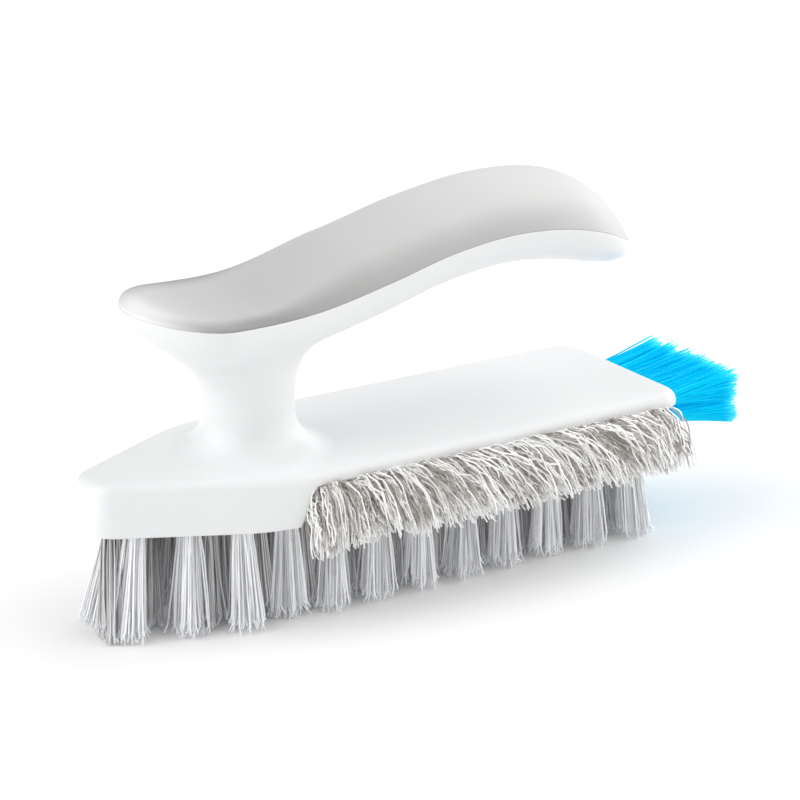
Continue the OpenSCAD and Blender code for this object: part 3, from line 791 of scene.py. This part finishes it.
# %% Places of the fringe tufts
SIDE_HOLE_D, UPPER_RIB, ROW_GAP, FRINGE_PITCH = 2.8, 1.0, 4.4, 8.2


def side_height(row):
    """Height of a row of side holes from the deck."""
    return -DECK_T - UPPER_RIB - SIDE_HOLE_D / 2 - row * ROW_GAP


fringe_first = (SKIRT_LEN - SKIRT_SLOPE * (-DECK_T - side_height(1)) / (BASE_H - DECK_T)
                + SIDE_HOLE_D)


def fringe_spots(row):
    return np.arange(fringe_first + (1 - row) * FRINGE_PITCH / 2,
                     BASE_LEN - REAR_R - SIDE_HOLE_D / 2 + 1e-6, FRINGE_PITCH)


print("fringe tufts a side:", len(fringe_spots(0)), "+", len(fringe_spots(1)))

# %% [markdown]
# The crimp is a wave pressed into the fibre, so each filament has its own wave and phase. From
# afar the eye reads the locks instead, whose filaments share a reach, a drop and a spread. Locks
# are drawn at random for each tuft, and the curtain as a whole leans a little to the rear.

# %% Fringe
FRINGE_FILAMENTS, FRINGE_RINGS, FRINGE_R = 110, 16, 0.25
FRINGE_REACH, FRINGE_DROP = 10.0, 20.0
LEANS, OWN_LEAN, LEAN_POWER = [2.0, 12.0, 16.0, 17.0, 16.0, 13.0, 6.0], (0.75, 1.25), 1.1
# Least and most of what a lock shares, and the part that each of its filaments adds
LOCKS = 11
LOCK_REACH, LOCK_DROP, LOCK_SPREAD = (0.4, 1.0, 0.15), (0.4, 1.15, 0.22), (-4.5, 4.5, 1.3)
TUFT_DROP, DROP_LIMITS, DROP_POWER = (0.86, 1.06), (0.25, 1.06), 2.2
# The lower row reaches out less and hangs a little longer, and both get shorter to the rear
LOWER_SHORT, LOWER_HANG, REAR_SHORT = 0.25, 1.5, 0.2
RISE, OWN_RISE = (6.0, 4.0), (0.1, 1)
WAVES, WAVE_SIZE, WAVE_START = (2.6, 4.2), (0.15, 0.42), 3
WAVE_OUT, WAVE_UP, WAVE_TURN = 0.8, 0.6, 1.3
ROOT_R, ROOT_IN, STRAY_X, STRAY_START = 1.2, 1.2, 0.6, 4
# No filament passes through the deck or its edge, and none leaves the box of the solids
LIP_Z, HIDE_Z, LIP_RISE, HIDE_FALL, MOST_OUT = -DECK_T - 0.4, -1.5, 1.3, 0.5, 1.1


def locked(lock, low, high, own):
    """Values that filaments of one lock share, each with a small part of its own."""
    return (rng.uniform(low, high, LOCKS)[lock] + rng.normal(0, own, len(lock)))[:, None]


def fringe_tuft(row, x, back, t):
    """Paths of one tuft at a distance x from the nose; back runs from 0 to 1 along the side."""
    n = FRINGE_FILAMENTS
    lean = curve(LEANS, back)
    lock = rng.integers(0, LOCKS, n)
    px, pz = disc(n, 1)
    reach = FRINGE_REACH * (1 - LOWER_SHORT * row) * locked(lock, *LOCK_REACH)
    drop = (FRINGE_DROP + side_height(row) + LOWER_HANG * row) * (1 - REAR_SHORT * back)
    drop = drop * rng.uniform(*TUFT_DROP) * np.clip(locked(lock, *LOCK_DROP), *DROP_LIMITS)
    spread = locked(lock, *LOCK_SPREAD)
    phase = rng.uniform(0, 2 * math.pi, (n, 1))
    wave = rng.uniform(*WAVES, (n, 1))
    size = rng.uniform(*WAVE_SIZE, (n, 1)) * np.clip(WAVE_START * t, 0, 1)
    crimp = size * np.sin(2 * math.pi * wave * t + phase)
    crimp_out = WAVE_OUT * size * np.cos(2 * math.pi * wave * t + WAVE_TURN * phase)
    rise = RISE[row] * rng.uniform(*OWN_RISE, (n, 1))
    out = np.sin(t * math.pi / 2)
    path_x = (x + ROOT_R * px[:, None] + lean * t**LEAN_POWER * rng.uniform(*OWN_LEAN, (n, 1))
              + rng.normal(0, STRAY_X, (n, 1)) * np.clip(STRAY_START * t, 0, 1)
              + spread * out + crimp)
    path_y = BLOCK_HALF - ROOT_IN + (reach + ROOT_IN) * out + crimp_out
    path_y = np.minimum(path_y, BLOCK_HALF + FRINGE_REACH + MOST_OUT)
    path_z = (side_height(row) + ROOT_R * pz[:, None] + rise * 4 * t * (1 - t)
              - drop * t**DROP_POWER + WAVE_UP * crimp)
    beyond = np.maximum(0, path_y - BASE_W / 2)
    path_z = np.minimum(path_z, np.minimum(LIP_Z + LIP_RISE * beyond, HIDE_Z - HIDE_FALL * beyond))
    return path_x, path_y, path_z


def fringe(name, node, row, side):
    spots = fringe_spots(row)
    t = np.linspace(0, 1, FRINGE_RINGS)[None, :]
    paths = []
    for x in spots:
        path_x, path_y, path_z = fringe_tuft(row, x, (x - spots[0]) / (spots[-1] - spots[0]), t)
        paths.append(np.stack([path_x, side * path_y, path_z], axis=-1))
    paths = np.concatenate(paths)
    radii = np.full(paths.shape[:2], FRINGE_R)
    return filaments(name, paths, t[0], radii, (1, 0, 0), "beige_bristle", node)


for side, side_name in ((-1, "left"), (1, "right")):
    for row, row_name in ((0, "upper"), (1, "lower")):
        fringe(f"fringe_{side_name}_{row_name}_hair", f"fringe_{side_name}_{row_name}", row, side)

# %% [markdown]
# ## The tail fan
#
# At the rear face two rows of fine blue filaments point backwards for edges and corners. The upper
# row rises, the lower one droops slightly, and the tips spread into a wispy brush. A cone with a
# noisy edge would pass from afar, but its tips have to come apart, so these are tubes as well.

# %% Tail fan
FAN_COUNT, FAN_PITCH, FAN_LEN, FAN_MARGIN = 6, 6.0, 26.0, 0.2
FAN_FILAMENTS, FAN_RINGS = 520, 8
FAN_R, FAN_TAPER = 0.17, 0.7
# Lift of the tips of the upper and lower row, how much each row fans out, and their curves
FAN_RISE, FAN_FILL, FILL_POWER, RISE_POWER = (6.0, -1.7), (-6.2, 4.2), 1.2, 1.6
FAN_SPREAD, FAN_SWEEP, FAN_STRAY = 0.1, -4.0, 0.3
# Half width and half height of a tuft, at its root and at its tip
TUFT_HALF_W, WIDEN_POWER, TUFT_HALF_H = (1.3, 3.2), 0.6, (1.2, 1.9)
OUTER_SHORT, OWN_SHORT, SHORT_SHAPE = 0.06, 0.16, (1.2, 4)


def tail_fan(name, node, row):
    t = np.linspace(0, 1, FAN_RINGS)[None, :]
    n = FAN_FILAMENTS
    paths = []
    for i in range(FAN_COUNT):
        y = (i - (FAN_COUNT - 1) / 2) * FAN_PITCH
        py, pz = disc(n, 1)
        edge = 1 - OUTER_SHORT * (y / FAN_PITCH) ** 2 / FAN_COUNT
        cut = 1 - OWN_SHORT * rng.beta(*SHORT_SHAPE, n)
        length = (FAN_LEN * edge * cut - FAN_MARGIN)[:, None]
        path_x = BLOCK_BACK - ROOT_IN + (length + ROOT_IN) * t
        stray_y, stray_z = rng.normal(0, FAN_STRAY, (2, n, 1))
        rise = FAN_RISE[row] + FAN_FILL[row] * rng.uniform(0, 1, (n, 1)) ** FILL_POWER
        path_y = (y * (1 + FAN_SPREAD * t**2) + mix(*TUFT_HALF_W, t**WIDEN_POWER) * py[:, None]
                  + (stray_y + FAN_SWEEP) * t**2)
        path_z = (side_height(row) + rise * t**RISE_POWER + mix(*TUFT_HALF_H, t) * pz[:, None]
                  + stray_z * t**2)
        paths.append(np.stack([path_x + 0 * path_y, path_y, path_z], axis=-1))
    paths = np.concatenate(paths)
    radii = np.broadcast_to(np.linspace(FAN_R, FAN_TAPER * FAN_R, FAN_RINGS), paths.shape[:2])
    return filaments(name, paths, t[0], radii, (0, 1, 0), "blue_bristle", node)


tail_fan("tail_fan_upper_hair", "tail_fan_upper", 0)
tail_fan("tail_fan_lower_hair", "tail_fan_lower", 1)

# %% [markdown]
# ## Materials
#
# The finishes are trees of nodes that repeat a few steps, such as a noise or a blend of two
# colours. Wiring each by hand hides what a finish does, so each step is a small function, fed by
# a number or by another node.

# %% Steps of a node tree
# Sockets of a colour mix: its share, its two colours and its result
SHARE, FIRST, SECOND, RESULT = 0, 6, 7, 2


def feed(tree, source, socket):
    if isinstance(source, (int, float)):
        socket.default_value = source
    else:
        tree.links.new(source, socket)


def maths(tree, operation, *sources):
    node = tree.nodes.new("ShaderNodeMath")
    node.operation = operation
    for source, socket in zip(sources, node.inputs):
        feed(tree, source, socket)
    return node.outputs["Value"]


def noise(tree, place, scale, detail):
    node = tree.nodes.new("ShaderNodeTexNoise")
    for source, label in ((place, "Vector"), (scale, "Scale"), (detail, "Detail")):
        feed(tree, source, node.inputs[label])
    return node.outputs[0]


def ranged(tree, value, **ends):
    """A number moved from one range to another, whose ends are 0 and 1 where not given."""
    node = tree.nodes.new("ShaderNodeMapRange")
    tree.links.new(value, node.inputs["Value"])
    for end, source in ends.items():
        feed(tree, source, node.inputs[end.replace("_", " ").title()])
    return node.outputs["Result"]


def stored(tree, label):
    """A number that the points of a piece keep."""
    node = tree.nodes.new("ShaderNodeAttribute")
    node.attribute_name = label
    return node.outputs["Fac"]


def blend(tree, share, first, second):
    """A colour between two others."""
    node = tree.nodes.new("ShaderNodeMix")
    node.data_type = "RGBA"
    for source, socket in ((share, SHARE), (first, FIRST), (second, SECOND)):
        tree.links.new(source, node.inputs[socket])
    return node.outputs[RESULT]


# %% [markdown]
# The shell is satin white plastic. A single colour and roughness would render it as a perfect
# solid, but moulded plastic has a faint texture from the tool, and its gloss varies where that was
# polished. That effect is one node group, placed in each plastic with its own values, and in the
# steel of the anchors too. The same group blends in the painted light and shade stored on the palm
# cover's points.

# %% Moulded finish and painted skin light
CLOUD_SCALE, CLOUD_DETAIL, CLOUD_LOW, CLOUD_HIGH = 28, 3, 0.35, 0.65
GRAIN_SCALE, GRAIN_DETAIL, ROUGH_SPREAD = 2600, 2, 0.08
COLOUR, NUMBER = "NodeSocketColor", "NodeSocketFloat"


def new_group(name, inputs, outputs):
    """A node group with named inputs and their values, and named outputs and their kinds."""
    group = bpy.data.node_groups.new(name, "ShaderNodeTree")
    for label, value in inputs.items():
        kind = COLOUR if isinstance(value, tuple) else NUMBER
        socket = group.interface.new_socket(name=label, in_out="INPUT", socket_type=kind)
        socket.default_value = value
    for label, kind in outputs.items():
        group.interface.new_socket(name=label, in_out="OUTPUT", socket_type=kind)
    enter, leave = group.nodes.new("NodeGroupInput"), group.nodes.new("NodeGroupOutput")
    return group, enter.outputs, leave.inputs


def finish_and_painted_light():
    group, given, result = new_group(
        "moulded finish",
        {"Colour": (0.8, 0.8, 0.8, 1), "Tint": (1, 1, 1, 1), "Light Skin": (1, 1, 1, 1),
         "Roughness": 0.4, "Grain": 1.0},
        {"Colour": COLOUR, "Roughness": NUMBER, "Height": NUMBER})
    place = group.nodes.new("ShaderNodeTexCoord").outputs["Object"]
    cloud = noise(group, place, CLOUD_SCALE, CLOUD_DETAIL)
    grain = noise(group, place, GRAIN_SCALE, GRAIN_DETAIL)
    share = ranged(group, cloud, from_min=CLOUD_LOW, from_max=CLOUD_HIGH)
    colour = blend(group, share, given["Colour"], given["Tint"])
    # Painted light and shade stored on the palm cover's points; other pieces lack it and keep their
    # colour
    colour = blend(group, stored(group, "skin_tone"), colour, given["Light Skin"])
    rough = maths(group, "MULTIPLY_ADD", cloud, ROUGH_SPREAD, given["Roughness"])
    group.links.new(colour, result["Colour"])
    group.links.new(rough, result["Roughness"])
    group.links.new(maths(group, "MULTIPLY", grain, given["Grain"]), result["Height"])
    return group


FINISH_AND_LIGHT = finish_and_painted_light()
print("node group:", FINISH_AND_LIGHT.name, "with", len(FINISH_AND_LIGHT.nodes), "nodes")


# %% Plastics and steel
BUMP_STRENGTH, BUMP_DISTANCE = 0.15, 0.0001


def painted(name, group, values):
    """A material whose shader takes its colour from a node group with the given values."""
    material = bpy.data.materials.new(name)
    material.use_nodes = True
    tree = material.node_tree
    shader = tree.nodes["Principled BSDF"].inputs
    effect = tree.nodes.new("ShaderNodeGroup")
    effect.node_tree = group
    for label, value in values.items():
        effect.inputs[label.replace("_", " ").title()].default_value = (
            (*value, 1) if isinstance(value, tuple) else value)
    tree.links.new(effect.outputs["Colour"], shader["Base Color"])
    return material, tree, shader, effect.outputs


def plastic(name, metallic=0.0, **values):
    material, tree, shader, effect = painted(name, FINISH_AND_LIGHT, values)
    bump = tree.nodes.new("ShaderNodeBump")
    bump.inputs["Strength"].default_value = BUMP_STRENGTH
    bump.inputs["Distance"].default_value = BUMP_DISTANCE
    tree.links.new(effect["Roughness"], shader["Roughness"])
    tree.links.new(effect["Height"], bump.inputs["Height"])
    tree.links.new(bump.outputs["Normal"], shader["Normal"])
    shader["Metallic"].default_value = metallic
    return material


white = plastic("satin white plastic", colour=(0.82, 0.825, 0.83), tint=(0.805, 0.815, 0.822),
                roughness=0.3, grain=1.0)
# The palm cover's colour runs from this grey towards the lighter one by its painted light and shade
warm = plastic("warm grey plastic", colour=(0.284, 0.281, 0.278), tint=(0.276, 0.274, 0.272),
               light_skin=(0.907, 0.901, 0.896), roughness=0.36, grain=1.0)
block_white = plastic("block plastic", colour=(0.78, 0.79, 0.79), tint=(0.74, 0.75, 0.76),
                      roughness=0.45, grain=1.4)
steel = plastic("anchor steel", metallic=1.0, colour=(0.62, 0.62, 0.61), tint=(0.5, 0.5, 0.49),
                roughness=0.28, grain=0.6)


def dress(piece, material):
    piece.data.materials.clear()
    piece.data.materials.append(material)


dress(body, white)
dress(cover, warm)
for slot in nodes["brush_block"].material_slots:
    slot.material = block_white
for anchors in ("sole_anchors", "fringe_anchors_left", "fringe_anchors_right", "fan_anchors"):
    for slot in nodes[anchors].material_slots:
        slot.material = steel
print("dressed:", body.name, cover.name, "block and anchors")

# %% [markdown]
# The filaments are translucent plastic. Real translucency is slow and noisy on thousands of thin
# tubes, so a weak glow stands for the light that passes through them. Their tone comes from the
# two numbers on their points: each filament is a little lighter or darker than its neighbours, and
# the dark ones are painted shade between the strands; it changes from its root to its length, and a
# darker root is painted shade under the base; and its cut end is brighter, a painted highlight.

# %% Filament tones
HIGHLIGHT_FROM = 0.92


def filament_tone():
    grey = (0.8, 0.8, 0.8, 1)
    group, given, result = new_group(
        "filament tone",
        {"Root": grey, "Length": grey, "Cut End": grey, "Stray": grey, "Root Length": 0.4,
         "Stray Share": 0.5, "Dark Until": 0.2, "Light From": 0.5},
        {"Colour": COLOUR})
    along = stored(group, "strand_along")
    # A root colour darker than the length is painted shade under the base
    out_of_hole = ranged(group, along, from_max=given["Root Length"])
    # Filaments with a tone under Dark Until keep the darker colour: painted shade between the
    # strands
    own = ranged(group, stored(group, "strand_tone"), from_min=given["Dark Until"],
                 from_max=given["Light From"], to_max=given["Stray Share"])
    colour = blend(group, out_of_hole, given["Root"], given["Length"])
    colour = blend(group, own, colour, given["Stray"])
    # The brighter cut end is a painted highlight
    colour = blend(group, ranged(group, along, from_min=HIGHLIGHT_FROM), colour, given["Cut End"])
    group.links.new(colour, result["Colour"])
    return group


TONE = filament_tone()
print("node group:", TONE.name, "with", len(TONE.nodes), "nodes")


# %% Filament materials
def filament(name, roughness, glow, gloss=0.5, **values):
    material, tree, shader, effect = painted(name, TONE, values)
    tree.links.new(effect["Colour"], shader["Emission Color"])
    shader["Emission Strength"].default_value = glow
    shader["Roughness"].default_value = roughness
    shader["Specular IOR Level"].default_value = gloss
    return material


grey_hair = filament(
    "grey filament", roughness=0.32, glow=0.10,
    root=(0.70, 0.70, 0.71), length=(0.58, 0.59, 0.61), cut_end=(0.97, 0.98, 1.0),
    stray=(0.98, 0.99, 1.0), root_length=0.3, stray_share=1.0, dark_until=0.2, light_from=0.5)
shaded_hair = filament(
    "grey filament in the shade", roughness=0.35, glow=0.05,
    root=(0.16, 0.15, 0.135), length=(0.46, 0.46, 0.47), cut_end=(0.9, 0.91, 0.92),
    stray=(0.90, 0.91, 0.92), root_length=0.7, stray_share=0.8, dark_until=0.2, light_from=0.8)
beige_hair = filament(
    "beige filament", roughness=0.38, glow=0.08,
    root=(0.33, 0.295, 0.265), length=(0.44, 0.405, 0.37), cut_end=(0.98, 0.98, 0.97),
    stray=(1.0, 0.995, 0.985), root_length=0.4, stray_share=1.0, dark_until=0.36, light_from=0.5)
blue_hair = filament(
    "blue filament", roughness=0.4, glow=0.17, gloss=0.12,
    root=(0.0, 0.62, 0.98), length=(0.0, 0.68, 1.0), cut_end=(0.08, 0.84, 1.0),
    stray=(0.0, 0.74, 1.0), root_length=0.4, stray_share=0.6, dark_until=0.2, light_from=1.0)
for start, end, material in (("sole_tufts", "", shaded_hair), ("sole_tufts", "outer", grey_hair),
                             ("fringe", "hair", beige_hair), ("tail_fan", "hair", blue_hair)):
    for piece in bpy.context.scene.objects:
        if piece.name.startswith(start) and piece.name.endswith(end):
            dress(piece, material)
print("materials:", sorted(material.name for material in bpy.data.materials))

# %% [markdown]
# ## The floor and the studio
#
# The brush stands on a pale sheet, so wide that its edge never shows. Lamps would leave their
# outlines in the satin plastic, so the light comes from the world: a white room with large, soft-
# edged bright patches, fitted to the tones of the photograph. The strongest are at the tail and
# at the nose. The view transform is the plain one, so white stays white.

# %% Floor
FLOOR_HALF, FLOOR_GREY, FLOOR_ROUGHNESS = 12.0, 0.95, 0.8
floor_corners = [(x * FLOOR_HALF, y * FLOOR_HALF, 0)
                 for x, y in ((-1, -1), (1, -1), (1, 1), (-1, 1))]
floor_mesh = bpy.data.meshes.new("floor")
floor_mesh.from_pydata(floor_corners, [], [(0, 1, 2, 3)])
floor = bpy.data.objects.new("floor", floor_mesh)
bpy.context.scene.collection.objects.link(floor)
floor_paint = bpy.data.materials.new("pale sheet")
floor_paint.use_nodes = True
floor_shader = floor_paint.node_tree.nodes["Principled BSDF"].inputs
floor_shader["Base Color"].default_value = (FLOOR_GREY, FLOOR_GREY, FLOOR_GREY, 1)
floor_shader["Roughness"].default_value = FLOOR_ROUGHNESS
floor_mesh.materials.append(floor_paint)
print("floor:", 2 * FLOOR_HALF, "m wide")

# %% White room
ROOM_LEVEL, PATCH_SOFTNESS = 0.02, 5
# Azimuth, height and strength of each patch
LIGHT_PATCHES = [(27, 8, 0.3), (87, 8, 2.42), (147, 8, 0.47), (-93, 8, 1.65), (39, 42, 1.35),
                 (111, 42, 1.13), (-105, 42, 2.0)]


def white_room():
    world = bpy.data.worlds.new("white room")
    world.use_nodes = True
    tree = world.node_tree
    sight = tree.nodes.new("ShaderNodeTexCoord").outputs["Generated"]
    level = ROOM_LEVEL
    for patch_azimuth, patch_height, strength in LIGHT_PATCHES:
        facing = tree.nodes.new("ShaderNodeVectorMath")
        facing.operation = "DOT_PRODUCT"
        facing.inputs[1].default_value = Vector(direction(patch_azimuth, patch_height))
        tree.links.new(sight, facing.inputs[0])
        glow = maths(tree, "POWER", maths(tree, "MAXIMUM", facing.outputs["Value"], 0.0),
                     PATCH_SOFTNESS)
        level = maths(tree, "ADD", maths(tree, "MULTIPLY", glow, strength), level)
    background = tree.nodes["Background"].inputs
    background["Color"].default_value = (1, 1, 1, 1)
    tree.links.new(level, background["Strength"])
    return world


bpy.context.scene.world = white_room()
bpy.context.scene.view_settings.view_transform = "Standard"
print("room:", len(LIGHT_PATCHES), "bright patches")
